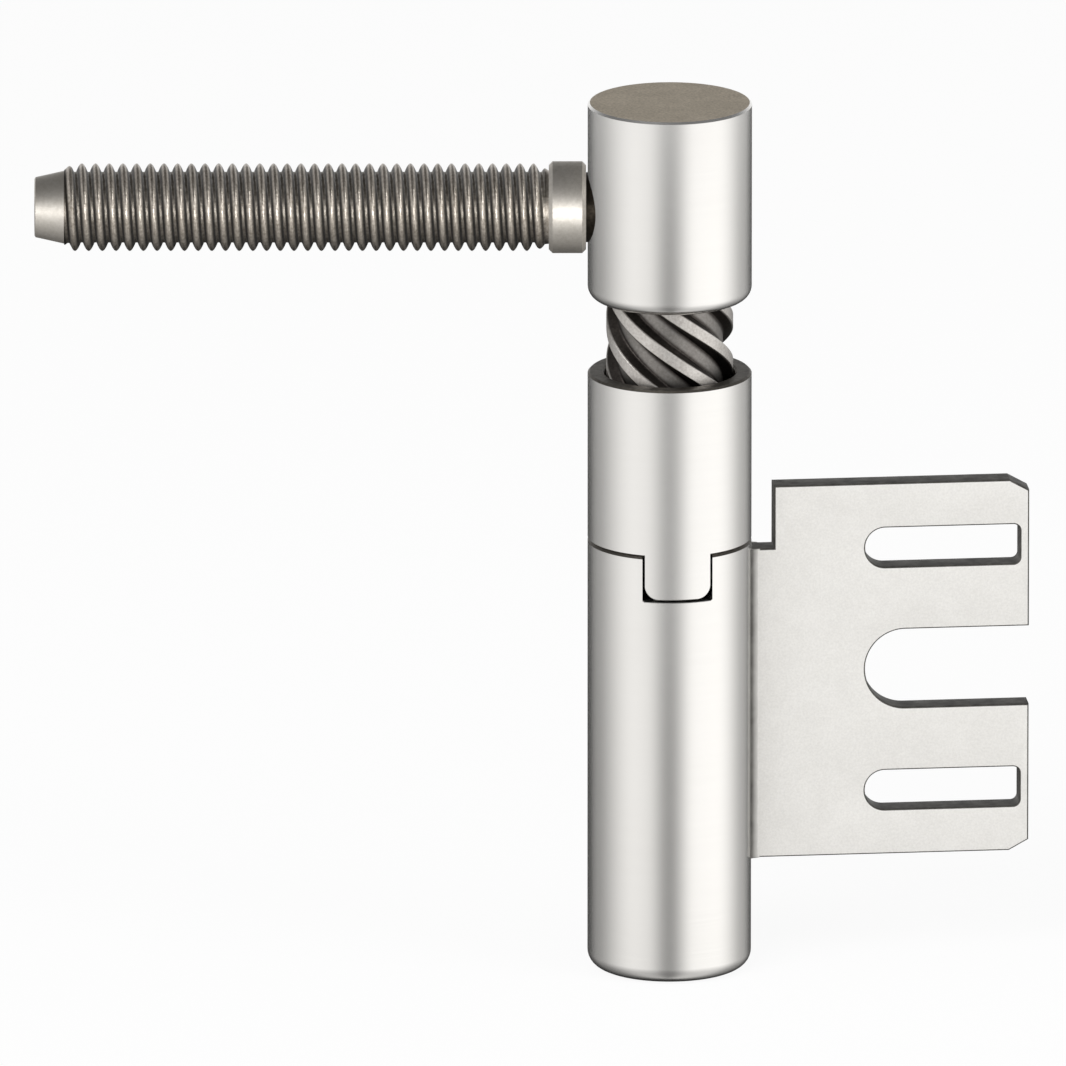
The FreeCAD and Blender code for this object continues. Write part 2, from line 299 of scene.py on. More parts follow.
def satinNickel():
    material = bpy.data.materials.new("satinNickel")
    tree, shader = nodesOf(material)
    grain = useGroup(
        tree, turnedGrain,
        Colour_A=(0.87, 0.86, 0.84, 1), Colour_B=(0.82, 0.805, 0.78, 1), Roughness=0.25, Spread=0.05,
    )
    finishFrom(tree, shader, grain, 0.03)
    return material


def dullMetal(name, light, dark, scale, roughness, bump, metallic=1.0):
    # Speckled dull metal, for bare turned ends, sheared edges, matt plating and the dark painted shade on
    # rims and partings.
    material = bpy.data.materials.new(name)
    tree, shader = nodesOf(material)
    grain = useGroup(
        tree, platingSpeckle,
        Colour_A=light + (1,), Colour_B=dark + (1,), Scale=scale, Roughness=roughness, Spread=0.2,
    )
    finishFrom(tree, shader, grain, bump, metallic)
    return material


def wornAndShadedSteel(name, crestColours, rootColours, crestRough, rootRough, scale, metallic=1.0, bump=0.25):
    # Steel mixed from a bright and a dark speckled finish by the piece's own "crest" attribute: the bright
    # one is rubbed wear with a painted highlight, the dark one is dark steel deepened into painted shade for
    # grooves and corners.
    material = bpy.data.materials.new(name)
    tree, shader = nodesOf(material)
    crest = useGroup(
        tree, platingSpeckle,
        Colour_A=crestColours[0], Colour_B=crestColours[1], Scale=scale, Roughness=crestRough, Spread=0.3,
    )
    root = useGroup(
        tree, platingSpeckle,
        Colour_A=rootColours[0], Colour_B=rootColours[1], Scale=scale * 0.7, Roughness=rootRough, Spread=0.3,
    )
    high = addNode(tree, "ShaderNodeAttribute", attribute_name="crest")
    colour = addNode(tree, "ShaderNodeMix", data_type="RGBA")
    rough = addNode(tree, "ShaderNodeMix", data_type="FLOAT")
    height = addNode(tree, "ShaderNodeBump")
    height.inputs["Strength"].default_value = bump
    height.inputs["Distance"].default_value = bumpDistance
    join = tree.links.new
    join(high.outputs["Fac"], colour.inputs["Factor"])
    join(root.outputs["Colour"], colour.inputs["A"])
    join(crest.outputs["Colour"], colour.inputs["B"])
    join(high.outputs["Fac"], rough.inputs["Factor"])
    join(root.outputs["Roughness"], rough.inputs["A"])
    join(crest.outputs["Roughness"], rough.inputs["B"])
    join(crest.outputs["Height"], height.inputs["Height"])
    join(colour.outputs["Result"], shader.inputs["Base Color"])
    join(rough.outputs["Result"], shader.inputs["Roughness"])
    join(height.outputs["Normal"], shader.inputs["Normal"])
    shader.inputs["Metallic"].default_value = metallic
    return material


def darkPlastic():
    material = bpy.data.materials.new("darkPlastic")
    tree, shader = nodesOf(material)
    grain = useGroup(
        tree, platingSpeckle,
        Colour_A=(0.035, 0.035, 0.035, 1), Colour_B=(0.02, 0.02, 0.02, 1),
        Scale=2200.0, Roughness=0.5, Spread=0.2,
    )
    finishFrom(tree, shader, grain, 0.15, metallic=0.0)
    return material


nickel = satinNickel()
cutEnd = dullMetal(
    "cutEnd", (0.66, 0.578, 0.455), (0.44, 0.382, 0.295),
    scale=4200.0, roughness=0.5, bump=0.2,
)
# Dark finish for rims and partings: painted shade where the pieces shadow one another.
rimPaintedShade = dullMetal(
    "rimPaintedShade", (0.15, 0.138, 0.12), (0.09, 0.082, 0.072),
    scale=2600.0, roughness=0.5, bump=0.2,
)
platePale = dullMetal(
    "platePale", (0.82, 0.805, 0.773), (0.73, 0.715, 0.683),
    scale=5000.0, roughness=0.55, bump=0.3, metallic=0.2,
)
plateEdge = dullMetal(
    "plateEdge", (0.12, 0.115, 0.105), (0.05, 0.048, 0.044),
    scale=900.0, roughness=0.55, bump=0.5, metallic=0.6,
)
# Its dark finish is burnished steel made darker still as painted shade in the grooves.
spindleSteel = wornAndShadedSteel(
    "spindleSteel",
    [(0.70, 0.675, 0.64, 1), (0.50, 0.47, 0.44, 1)],
    [(0.075, 0.066, 0.06, 1), (0.04, 0.035, 0.032, 1)],
    crestRough=0.4, rootRough=0.42, scale=4200.0,
)
# Its dark finish is steel made darker still as painted shade in the thread's roots and flanks; the bright
# one is rubbed wear with a painted highlight.
studSteel = wornAndShadedSteel(
    "studSteel",
    [(0.72, 0.66, 0.585, 1), (0.34, 0.30, 0.25, 1)],
    [(0.03, 0.025, 0.019, 1), (0.012, 0.01, 0.008, 1)],
    crestRough=0.3, rootRough=0.5, scale=3600.0, bump=0.8,
)
studPlain = dullMetal(
    "studPlain", (0.60, 0.57, 0.525), (0.50, 0.47, 0.425),
    scale=2600.0, roughness=0.52, bump=0.2,
)
# Its dark finish is painted shade in the corner between barrel and plate; the pale one is the weld's own
# tone.
weldMetal = wornAndShadedSteel(
    "weldMetal",
    [(0.76, 0.745, 0.715, 1), (0.68, 0.665, 0.635, 1)],
    [(0.13, 0.125, 0.115, 1), (0.07, 0.066, 0.06, 1)],
    crestRough=0.5, rootRough=0.5, scale=1200.0, metallic=0.3,
)
plastic = darkPlastic()
print("materials made")


def dress(obj, body, node, slot, *materials):
    # Gives a new piece its materials, its body and the solid that it stands for.
    obj.data.materials.clear()
    for material in materials:
        obj.data.materials.append(material)
    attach(obj, body)
    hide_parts(node)


def markCrest(obj, values):
    # Stores for each point how far the bright finish shows, standing for rubbed wear and painted highlight,
    # and where low for painted shade, for the steels mixed from two finishes.
    mark = obj.data.attributes.new("crest", "FLOAT", "POINT")
    mark.data.foreach_set("value", values.ravel())


def faceCentres(obj):
    # Middles of all faces, in millimetres.
    centres = np.empty(len(obj.data.polygons) * 3)
    obj.data.polygons.foreach_get("center", centres)
    return centres.reshape(-1, 3) / mm


def paintBand(obj, low, high, slotIndex, within=100.0):
    # Another material on the faces whose middle lies between two heights and within a radius of the axis.
    marks = np.empty(len(obj.data.polygons), np.int32)
    obj.data.polygons.foreach_get("material_index", marks)
    x, y, z = faceCentres(obj).T
    inside = (z > low) & (z < high) & (np.hypot(x, y) < within)
    obj.data.polygons.foreach_set("material_index", np.where(inside, slotIndex, marks).astype(np.int32))


# Door knuckle
doorKnuckle = {"round": 1.2, "bore": 4.52, "cap": 3.4}


def makeDoorKnuckle():
    # Closed profile: foot ring, rounded edge, wall, broken upper edge, flat top, then down the blind bore.
    low, high = heights("door_knuckle")
    edge = barrel["edgeBreak"]
    bore, capFoot = doorKnuckle["bore"], high - doorKnuckle["cap"]
    profile = np.concatenate([
        [[bore, low]],
        quarterRound(barrel["radius"], low, doorKnuckle["round"]),
        [[barrel["radius"], high - edge], [barrel["radius"] - edge, high], [0, high]],
        [[0, capFoot], [bore, capFoot]],
    ])
    obj = lathe("doorKnuckleSkin", profile, barrel["columns"])
    dress(obj, "door_part", "door_knuckle", "satin_nickel", nickel, cutEnd)
    paintBand(obj, high - hair, high + hair, 1)


# Middle sleeve with its tongue
sleeve = {
    "lip": 6.0,
    "lipDepth": 1.2,
    "lipShadeBand": 0.6,  # width of the painted shade inside the lip
    "pocket": 6.62,
    "nutDepth": 6.2,
    "tongueHalf": 3.0,
    "tongueCorner": 1.2,
    "tongueBreak": 0.08,
}


def makeSleeve():
    # Closed wall profile whose lower edge drops to the tongue's foot across the key, with rounded corners.
    foot, high = heights("riser_sleeve")
    rimLow = heights("frame_knuckle")[1]
    edge = barrel["edgeBreak"]
    half, corner = sleeve["tongueHalf"], sleeve["tongueCorner"]

    def profileAt(s, onKey):
        over = np.clip(np.abs(s) * half - (half - corner), 0, corner)
        rounded = foot + corner - np.sqrt(np.maximum(corner ** 2 - over ** 2, 0))
        low = np.where(onKey, rounded, rimLow)
        cut = np.where(onKey, sleeve["tongueBreak"], edge)
        one = np.ones_like(low)
        outer, inner = barrel["radius"], barrel["counterbore"]
        lip, pocket = sleeve["lip"], sleeve["pocket"]
        lipFoot, nutFoot = high - sleeve["lipDepth"], high - sleeve["nutDepth"]
        wall = [(inner * one, low), (outer - cut, low), (outer * one, low + cut)]
        rest = [
            (outer, high - edge), (outer - edge, high), (lip + edge, high), (lip, high - edge),
            (lip, lipFoot), (pocket, lipFoot), (pocket, nutFoot), (inner, nutFoot),
        ]
        wall += [(r * one, z * one) for r, z in rest]
        return np.array([p[0] for p in wall]), np.array([p[1] for p in wall])

    obj = keyedLathe("sleeveSkin", profileAt, half, barrel["keyColumns"], barrel["restColumns"])
    dress(obj, "frame_part", "riser_sleeve", "satin_nickel", nickel, rimPaintedShade)
    # Top rim, lip wall and parting edge take the dark finish: painted shade under the door knuckle and along
    # the partings.
    paintBand(obj, high - edge, high + hair, 1)
    paintBand(obj, high - sleeve["lipDepth"] - hair, high, 1, within=sleeve["lip"] + sleeve["lipShadeBand"])
    paintBand(obj, rimLow - hair, rimLow + edge, 1)


# Frame knuckle with its notch
knuckle = {
    "round": 1.5,
    "notchHalf": 3.22,
    "notchDepth": 4.22,
    "notchCorner": 0.2,
    "notchBreak": 0.05,
    "boreFloor": 35.6,
    "guide": 4.5,
    "guideFloor": 10.95,
}


def makeFrameKnuckle():
    # Wall profile from the foot's middle to the rim and down the stepped bore; the rim drops at the notch.
    low, high = heights("frame_knuckle")
    edge = barrel["edgeBreak"]
    half, corner = knuckle["notchHalf"], knuckle["notchCorner"]
    foot = quarterRound(barrel["radius"], low, knuckle["round"])

    def profileAt(s, onKey):
        over = np.clip(np.abs(s) * half - (half - corner), 0, corner)
        notch = high - knuckle["notchDepth"] + corner - np.sqrt(np.maximum(corner ** 2 - over ** 2, 0))
        top = np.where(onKey, notch, high)
        cut = np.where(onKey, knuckle["notchBreak"], edge)
        one = np.ones_like(top)
        outer, bore, guide = barrel["radius"], barrel["counterbore"], knuckle["guide"]
        wall = [(0 * one, low * one)]
        wall += [(r * one, z * one) for r, z in foot]
        wall += [(outer * one, top - cut), (outer - cut, top), (bore * one, top)]
        rest = [
            (bore, knuckle["boreFloor"]), (guide, knuckle["boreFloor"]),
            (guide, knuckle["guideFloor"]), (0, knuckle["guideFloor"]),
        ]
        wall += [(r * one, z * one) for r, z in rest]
        return np.array([p[0] for p in wall]), np.array([p[1] for p in wall])

    obj = keyedLathe("frameKnuckleSkin", profileAt, half, barrel["keyColumns"], barrel["restColumns"])
    dress(obj, "frame_part", "frame_knuckle", "satin_nickel", nickel, rimPaintedShade)
    # The rim's edge at the parting with the sleeve takes the dark finish: painted shade.
    paintBand(obj, high - edge, high + hair, 1)


# Spindle
spindle = {
    "crest": 5.8,
    "root": 4.85,
    "land": 17.0,  # width of a land, in degrees
    "floor": 26.0,  # width of a groove's floor, in degrees
    "threadLength": 18.95,
    "leadIn": 0.6,  # length and depth of the cone at the thread's foot
    "shank": 4.5,
    "shankBreak": 0.2,
    "neck": 3.8,
    "journal": 3.0,
    "journalBreak": 0.5,
    "journalTop": 29.72,
    "rows": 150,
    "flankReach": 0.03,  # share by which the flank runs past both edges
    "soft": 0.225,
    "landFade": 6.0,  # how fast the polish ends beside a land
    # brightness of the painted highlight on each groove's floor
    "floorPaintedSheen": 0.38,
    "floorSheenFade": (2.0, 5.0),  # start and length of the painted highlight on the floor, in degrees from the flank
    "plainShine": 0.3,
    "sharpAngle": 40.0,
}


def makeSpindle():
    # Thread columns follow the helix: angle = start angle - 360 * height / lead. Radius falls from crest to
    # root along a straight flank; a smooth step rounds both edges. Journal and shank are plain rows.
    low, high = heights("rising_spindle")
    threadTop = heights("door_knuckle")[0]
    threadFoot = threadTop - spindle["threadLength"]
    pitch = 360 / stand["starts"]
    # Degrees from a land's middle to a groove's middle, closer together on the flank
    offsets = np.concatenate([
        np.linspace(0, 8, 6),
        np.linspace(8.3, 17.5, 10),
        np.linspace(19, pitch / 2, 8),
    ])
    offsets = np.concatenate([-offsets[::-1][:-1], offsets[:-1]])  # one land and half a groove each side
    away = np.abs(offsets)
    landEdge, floorEdge = spindle["land"] / 2, pitch / 2 - spindle["floor"] / 2
    fall = np.clip((away - landEdge) / (floorEdge - landEdge), 0, 1)
    fall = np.clip(fall * (1 + 2 * spindle["flankReach"]) - spindle["flankReach"], 0, 1)
    fall = fall + spindle["soft"] * (fall * fall * (3 - 2 * fall) - fall)
    radius = np.tile(spindle["crest"] + (spindle["root"] - spindle["crest"]) * fall, stand["starts"])
    fadeStart, fadeLength = spindle["floorSheenFade"]
    # Lands are rubbed bright; flanks take the dark finish as painted shade in the grooves, and each floor's
    # middle gets a painted highlight.
    onFloor = np.clip((away - floorEdge - fadeStart) / fadeLength, 0, 1)
    shade = np.clip(1 - spindle["landFade"] * fall, 0, 1) + spindle["floorPaintedSheen"] * onFloor
    shade = np.tile(shade, stand["starts"])
    angles = np.concatenate([offsets + k * pitch for k in range(stand["starts"])])
    thread = np.linspace(threadFoot, threadTop, spindle["rows"])
    journal, neck, shank = spindle["journal"], spindle["neck"], spindle["shank"]
    below = [
        (0, low), (journal - spindle["journalBreak"], low), (journal, low + spindle["journalBreak"]),
        (journal, spindle["journalTop"]), (neck, spindle["journalTop"]), (neck, threadFoot),
    ]
    above = [
        (shank, threadTop), (shank, high - spindle["shankBreak"]),
        (shank - spindle["shankBreak"], high), (0, high),
    ]
    plain = np.ones_like(radius)
    leadIn = np.clip((thread - threadFoot) / spindle["leadIn"], 0, 1)[:, None]
    core = np.minimum(radius[None, :], spindle["crest"] - spindle["leadIn"] * (1 - leadIn))
    r = np.concatenate([[p[0] * plain for p in below], core, [p[0] * plain for p in above]])
    z = np.concatenate([[p[1] for p in below], thread, [p[1] for p in above]])[:, None]
    turn = np.radians(angles[None, :] + stand["firstLand"] - 360 * z / stand["lead"])
    points = np.stack([r * np.cos(turn), r * np.sin(turn), z + 0 * turn], axis=-1)
    crest = np.concatenate([
        spindle["plainShine"] * np.ones((len(below), len(plain))),
        np.tile(shade, (len(thread), 1)),
        spindle["plainShine"] * np.ones((len(above), len(plain))),
    ])
    obj = putGrid("spindleSkin", points, False, True)
    markCrest(obj, crest)
    closeUp(obj, spindle["sharpAngle"])
    dress(obj, "door_part", "rising_spindle", "spindle_steel", spindleSteel)


# Drill-in stud
stud = {
    "pitch": 1.25,
    "radius": 4.0,
    "depth": 0.77,
    "phase": 0.43,  # shift of the crests towards the collar
    "rootFlat": 0.18,  # share of the wave that stays flat in the root
    "crestRound": 1.85,
    "pilot": 2.3,
    "pilotStart": 1.52,
    "neck": 3.2,
    "neckStart": 4.52,
    "collar": 4.2,
    "collarStart": 7.65,
    "collarEnd": 11.05,
    "chamfer": 0.35,
    "undercut": 3.35,
    "relief": 0.35,  # plain length between collar and thread
    "runOut": 1.0,  # length over which the thread fades at both ends
    "runOutPast": 0.2,
    "startDepth": 0.55,  # share of the full depth beside the collar
    "endLift": 0.12,
    "threadEnd": 55.3,
    "tipEnd": 58.0,
    "tip": 2.75,
    "tipStep": 0.1,
    "tipBreak": (0.15, 0.1),  # across and along
    "perTurn": 22,
    "columns": 80,
    "sharpAngle": 40.0,
}
# How bright each part of the thread is: rubbed wear, painted highlight and painted shade
studWearAndShade = {
    "crestFrom": 0.46,
    "crestOver": 0.28,
    "crestShine": 0.85,
    "rootUpTo": 0.26,
    "rootOver": 0.12,
    "rootPaintedSheen": 0.34,
    "startShine": 0.2,
    "collarShine": 0.92,
    "tipShine": 0.6,
}


def makeStud():
    # Thread radius at length t and angle a: a triangle wave of t / pitch - a / 2 pi, rounded on the crests
    # and faded out at both ends. Plain turned rows make pilot, neck, collar and coned tip.
    low, high = heights("door_stud")
    height = (low + high) / 2
    pilot, neck, collar, chamfer = stud["pilot"], stud["neck"], stud["collar"], stud["chamfer"]
    collarStart, collarEnd, threadEnd = stud["collarStart"], stud["collarEnd"], stud["threadEnd"]
    outline = [
        (0, stud["pilotStart"]), (pilot, stud["pilotStart"]), (pilot, stud["neckStart"]),
        (neck, stud["neckStart"]), (neck, collarStart),
        (collar - chamfer, collarStart), (collar, collarStart + chamfer),
        (collar, collarEnd - chamfer), (collar - chamfer, collarEnd), (stud["undercut"], collarEnd),
    ]
    rowCount = int((threadEnd - collarEnd - stud["relief"]) / stud["pitch"] * stud["perTurn"])
    t = np.linspace(collarEnd + stud["relief"], threadEnd, rowCount)[:, None]
    a = np.linspace(0, 2 * np.pi, stud["columns"], endpoint=False)[None, :]
    turns = (t + stud["phase"]) / stud["pitch"] - a / (2 * np.pi)
    wave = np.abs((turns % 1.0) * 2 - 1)  # 1 on the crest, 0 in the root
    rise = np.clip((wave - stud["rootFlat"]) / (1 - stud["rootFlat"]), 0, 1)
    shape = 1 - (1 - rise) ** stud["crestRound"]
    fade = np.clip((threadEnd + stud["runOutPast"] - t) / stud["runOut"], 0, 1)
    start = np.clip((t - collarEnd - stud["relief"]) / stud["runOut"], 0, 1)
    core = stud["radius"] - stud["depth"]
    share = np.minimum(fade, stud["startDepth"] + (1 - stud["startDepth"]) * start)
    thread = core + stud["depth"] * shape * share + (1 - fade) * stud["endLift"]
    tipIn, tipBack = stud["tipBreak"]
    ends = [
        (core + stud["tipStep"], threadEnd), (stud["tip"], stud["tipEnd"] - tipBack),
        (stud["tip"] - tipIn, stud["tipEnd"]), (0, stud["tipEnd"]),
    ]
    plain = np.ones_like(a)
    r = np.concatenate([
        np.array([p[0] for p in outline])[:, None] * plain,
        thread,
        np.array([p[0] for p in ends])[:, None] * plain,
    ])
    length = np.concatenate([[p[1] for p in outline], t[:, 0], [p[1] for p in ends]])[:, None]
    axis = np.radians(stand["studAngle"])
    along = np.array([np.cos(axis), np.sin(axis), 0.0])
    side = np.array([-np.sin(axis), np.cos(axis), 0.0])
    points = (length * plain)[..., None] * along + (r * np.cos(a))[..., None] * side
    points[..., 2] += r * np.sin(a) + height
    obj = putGrid("studSkin", points, False, True)

    # Crests are rubbed bright and carry a painted highlight, the root's floor takes a weaker painted
    # highlight, and the flanks between them stay dark as painted shade
    onCrest = np.clip((wave - studWearAndShade["crestFrom"]) / studWearAndShade["crestOver"], 0, 1)
    onRoot = np.clip((studWearAndShade["rootUpTo"] - wave) / studWearAndShade["rootOver"], 0, 1)
    wearAndLight = studWearAndShade["crestShine"] * onCrest + studWearAndShade["rootPaintedSheen"] * onRoot
    wearAndLight = wearAndLight + studWearAndShade["startShine"] * (1 - start)
    onCollar = (np.array([p[1] for p in outline]) > collarStart + hair)[:, None]
    markCrest(obj, np.concatenate([
        studWearAndShade["collarShine"] * onCollar * plain,
        wearAndLight,
        studWearAndShade["tipShine"] * np.ones((len(ends), 1)) * plain,
    ]))
    closeUp(obj, stud["sharpAngle"])
    dress(obj, "door_part", "door_stud", "stud_steel", studSteel, studPlain)

    # Collar and tip take the plain turned finish
    reach = faceCentres(obj) @ along
    smooth = ((reach > collarStart + hair) & (reach < collarEnd)) | (reach > threadEnd)
    obj.data.polygons.foreach_set("material_index", smooth.astype(np.int32))
    obj.visible_glossy = False  # the knuckle's wall stays clean beside the collar
    return obj


# Frame plate
plate = {
    "start": 9.5,
    "neckStart": 6.4,
    "neckTop": 39.5,
    "cornerX": 1.8,
    "cornerZ": 1.0,
    "slotStart": 17.9,
    "slotEnd": 32.15,
    "slotHeight": 3.7,
    "slotCorner": 0.6,
    "slotOffset": 11.5,
    "forkHeight": 7.4,
    "half": 1.25,
    "edgeRound": 0.2,
    "edgeSteps": 6,
    "forkSteps": 48,
    "slotSteps": 40,
    "cornerSteps": 9,
    "faceTilt": 0.93,  # least slope of a normal towards Y on the pale faces
    "sharpAngle": 12.0,
}


def arc(x, z, radius, first, last, steps):
    # Points on a circle in the plate's plane, angles in degrees.
    turn = np.radians(np.linspace(first, last, steps))
    return np.stack([x + radius * np.cos(turn), z + radius * np.sin(turn)], axis=-1)


def inset(loop, size):
    # Moves each corner of a loop to its left by size, along the mitre of its two sides.
    ahead = np.roll(loop, -1, axis=0) - loop
    ahead /= np.linalg.norm(ahead, axis=1, keepdims=True)
    left = np.stack([-ahead[:, 1], ahead[:, 0]], axis=-1)
    before = np.roll(left, 1, axis=0)
    return loop + size * (left + before) / (1 + np.sum(left * before, axis=1, keepdims=True))


def plateLoops():
    # The outer edge runs with the metal on its left, and so do the two slots.
    low, high = heights("frame_plate")
    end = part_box("frame_plate")[1][0] / mm
    middle = (low + high) / 2
    fork, slot = plate["forkHeight"] / 2, plate["slotHeight"] / 2
    cx, cz = plate["cornerX"], plate["cornerZ"]
    outer = np.concatenate([
        [[plate["neckStart"], low], [end - cx, low], [end, low + cz], [end, middle - fork]],
        arc(plate["slotStart"] + fork, middle, fork, 270, 90, plate["forkSteps"]),
        [[end, middle + fork], [end, high - cz], [end - cx, high], [plate["start"], high]],
        [[plate["start"], plate["neckTop"]], [plate["neckStart"], plate["neckTop"]]],
    ])
    loops = [outer]
    for side in (-1, 1):
        z, r = middle + side * plate["slotOffset"], plate["slotCorner"]
        loops.append(np.concatenate([
            arc(plate["slotStart"] + slot, z, slot, 270, 90, plate["slotSteps"]),
            arc(plate["slotEnd"] - r, z + slot - r, r, 90, 0, plate["cornerSteps"]),
            arc(plate["slotEnd"] - r, z - slot + r, r, 0, -90, plate["cornerSteps"]),
        ]))
    return loops


def makePlate():
    # Each loop is drawn through the thickness with rounded rims; the faces fill the space between the loops.
    half, rim = plate["half"], plate["edgeRound"]
    turn = np.linspace(0, np.pi / 2, plate["edgeSteps"])
    depth = np.concatenate([-half + rim * (1 - np.cos(turn)), half - rim * (1 - np.cos(turn[::-1]))])
    shrink = np.concatenate([rim * (1 - np.sin(turn)), rim * (1 - np.sin(turn[::-1]))])
    work = bmesh.new()
    for loop in plateLoops():
        rows = [inset(loop, size) for size in shrink]
        grid = []
        for row, y in zip(rows, depth):
            grid.append([work.verts.new((x * mm, y * mm, z * mm)) for x, z in row])
        for here, after in zip(grid, grid[1:]):
            for k in range(len(here)):
                work.faces.new((here[k - 1], here[k], after[k], after[k - 1]))
    for y in (-half, half):
        rimEdges = [e for e in work.edges if all(abs(v.co.y - y * mm) < 1e-9 for v in e.verts)]
        bmesh.ops.triangle_fill(work, use_beauty=True, edges=rimEdges, normal=(0, np.sign(y), 0))
    mesh = bpy.data.meshes.new("plateSkin")
    work.to_mesh(mesh)
    work.free()
    obj = bpy.data.objects.new("plateSkin", mesh)
    scene.collection.objects.link(obj)
    closeUp(obj, plate["sharpAngle"])
    dress(obj, "frame_part", "frame_plate", "plate_nickel", platePale, plateEdge)
    normals = np.empty(len(mesh.polygons) * 3)
    mesh.polygons.foreach_get("normal", normals)
    onEdge = np.abs(normals[1::3]) < plate["faceTilt"]
    mesh.polygons.foreach_set("material_index", onEdge.astype(np.int32))
    obj.visible_glossy = False  # the barrel keeps its dark edge beside the pale plate


# Welds
weld = {
    "leg": 0.7,
    "rows": 240,
    "columns": 11,
    "hollow": 0.9,
    "sink": 0.1,  # of the edge into the barrel's wall
    "overlap": 0.02,  # into the plate's face
    "root": 0.5,  # of the hidden side inside the wall
    "hidden": 0.1,  # of the hidden side below both skins
    "waves": ((0.05, 2.1, 0.0), (0.04, 5.3, 1.0)),  # share, radians per millimetre, phase
    # ramp from the dark painted shade at the barrel to the pale weld
    "paleSlope": 1.5,
    "paleStart": 0.35,
}


def makeWeld(name, side):
    # Hollow fillet between barrel and plate: a short arc drawn up the neck, its depth wandering a little.
    low, leg, half = heights("frame_plate")[0], weld["leg"], plate["half"]
    z = np.linspace(low, plate["neckTop"], weld["rows"])[:, None]
    t = np.linspace(0, 1, weld["columns"])[None, :]
    ripple = sum(share * np.sin(z * rate + phase) for share, rate, phase in weld["waves"])
    wander = 1 + 4 * t * (1 - t) * ripple
    skin = math.sqrt(barrel["radius"] ** 2 - (half + leg) ** 2)
    hollow = weld["hollow"] * t * (1 - t)
    x = barrel["radius"] + leg * wander * (1 - t - hollow) - (barrel["radius"] - skin + weld["sink"]) * t
    y = half - weld["overlap"] + leg * wander * (t - hollow)
    column = np.ones_like(z)
    x = np.concatenate([x, (skin - weld["root"]) * column, (skin - weld["root"]) * column], axis=1)
    y = np.concatenate([y, (half + leg - weld["hidden"]) * column, (half - weld["hidden"]) * column], axis=1)
    points = np.stack([x, side * y, z + 0 * x], axis=-1)
    ends = [np.broadcast_to(points[k].mean(axis=0), points[k].shape)[None] for k in (0, -1)]
    points = np.concatenate([ends[0], points, ends[1]])
    obj = putGrid(name, points, False, True)
    outwards = (points[..., 0] - skin) / (barrel["radius"] + leg - skin)
    # Pale away from the barrel, dark at it: painted shade in the corner where the weld meets the wall.
    markCrest(obj, np.clip(outwards * weld["paleSlope"] - weld["paleStart"], 0, 1))
    closeUp(obj)
    dress(obj, "frame_part", "frame_plate", "plate_nickel", weldMetal)


makeDoorKnuckle()
makeSleeve()
makeFrameKnuckle()
makeSpindle()
studSkin = makeStud()
makePlate()
makeWeld("weldFront", -1)
makeWeld("weldBack", 1)
print("pieces made")


def cover(node, material):
    # New finish on a solid that keeps its own mesh.
    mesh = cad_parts[node].data
    mesh.materials.clear()
    mesh.materials.append(material)


cover("riser_nut", plastic)
cover("guide_bush", plastic)
cover("retaining_ring", spindleSteel)
print("inner pieces finished")

# Camera
lens = {
    "azimuth": -6.0,
    "elevation": 15.1,
    "distance": 4.0,  # metres
    "frameWidth": 97.53,
    "left": 12.49,  # of the hinge axis from the picture's middle
    "height": 40.9,
    "sensor": 36.0,
    "clipEnd": 20.0,
}


def makeCamera():
    # Looks at a point beside the hinge axis; focal length = sensor * distance / frame width.
    turn, lift = math.radians(lens["azimuth"]), math.radians(lens["elevation"])
    back = Vector((math.sin(turn) * math.cos(lift), -math.cos(turn) * math.cos(lift), math.sin(lift)))
    right = Vector((math.cos(turn), math.sin(turn), 0))
    target = Vector((0, 0, lens["height"] * mm)) - right * lens["left"] * mm
    data = bpy.data.cameras.new("photoCamera")
    data.sensor_width = lens["sensor"]
    data.lens = lens["sensor"] * lens["distance"] / (lens["frameWidth"] * mm)
    data.clip_end = lens["clipEnd"]
    obj = bpy.data.objects.new("photoCamera", data)
    scene.collection.objects.link(obj)
    obj.location = target + back * lens["distance"]
    obj.rotation_mode = "QUATERNION"
    obj.rotation_quaternion = (-back).to_track_quat("-Z", "Y")
    scene.camera = obj


makeCamera()
print("camera placed")

# Floor
floor = {"size": 9.0, "drop": 0.02, "tone": 0.9, "glow": 0.9}


def emptyMaterial(name):
    # A material whose tree holds only its output.
    material = bpy.data.materials.new(name)
    material.use_nodes = True
    tree = material.node_tree
    tree.nodes.clear()
    return material, tree, addNode(tree, "ShaderNodeOutputMaterial")


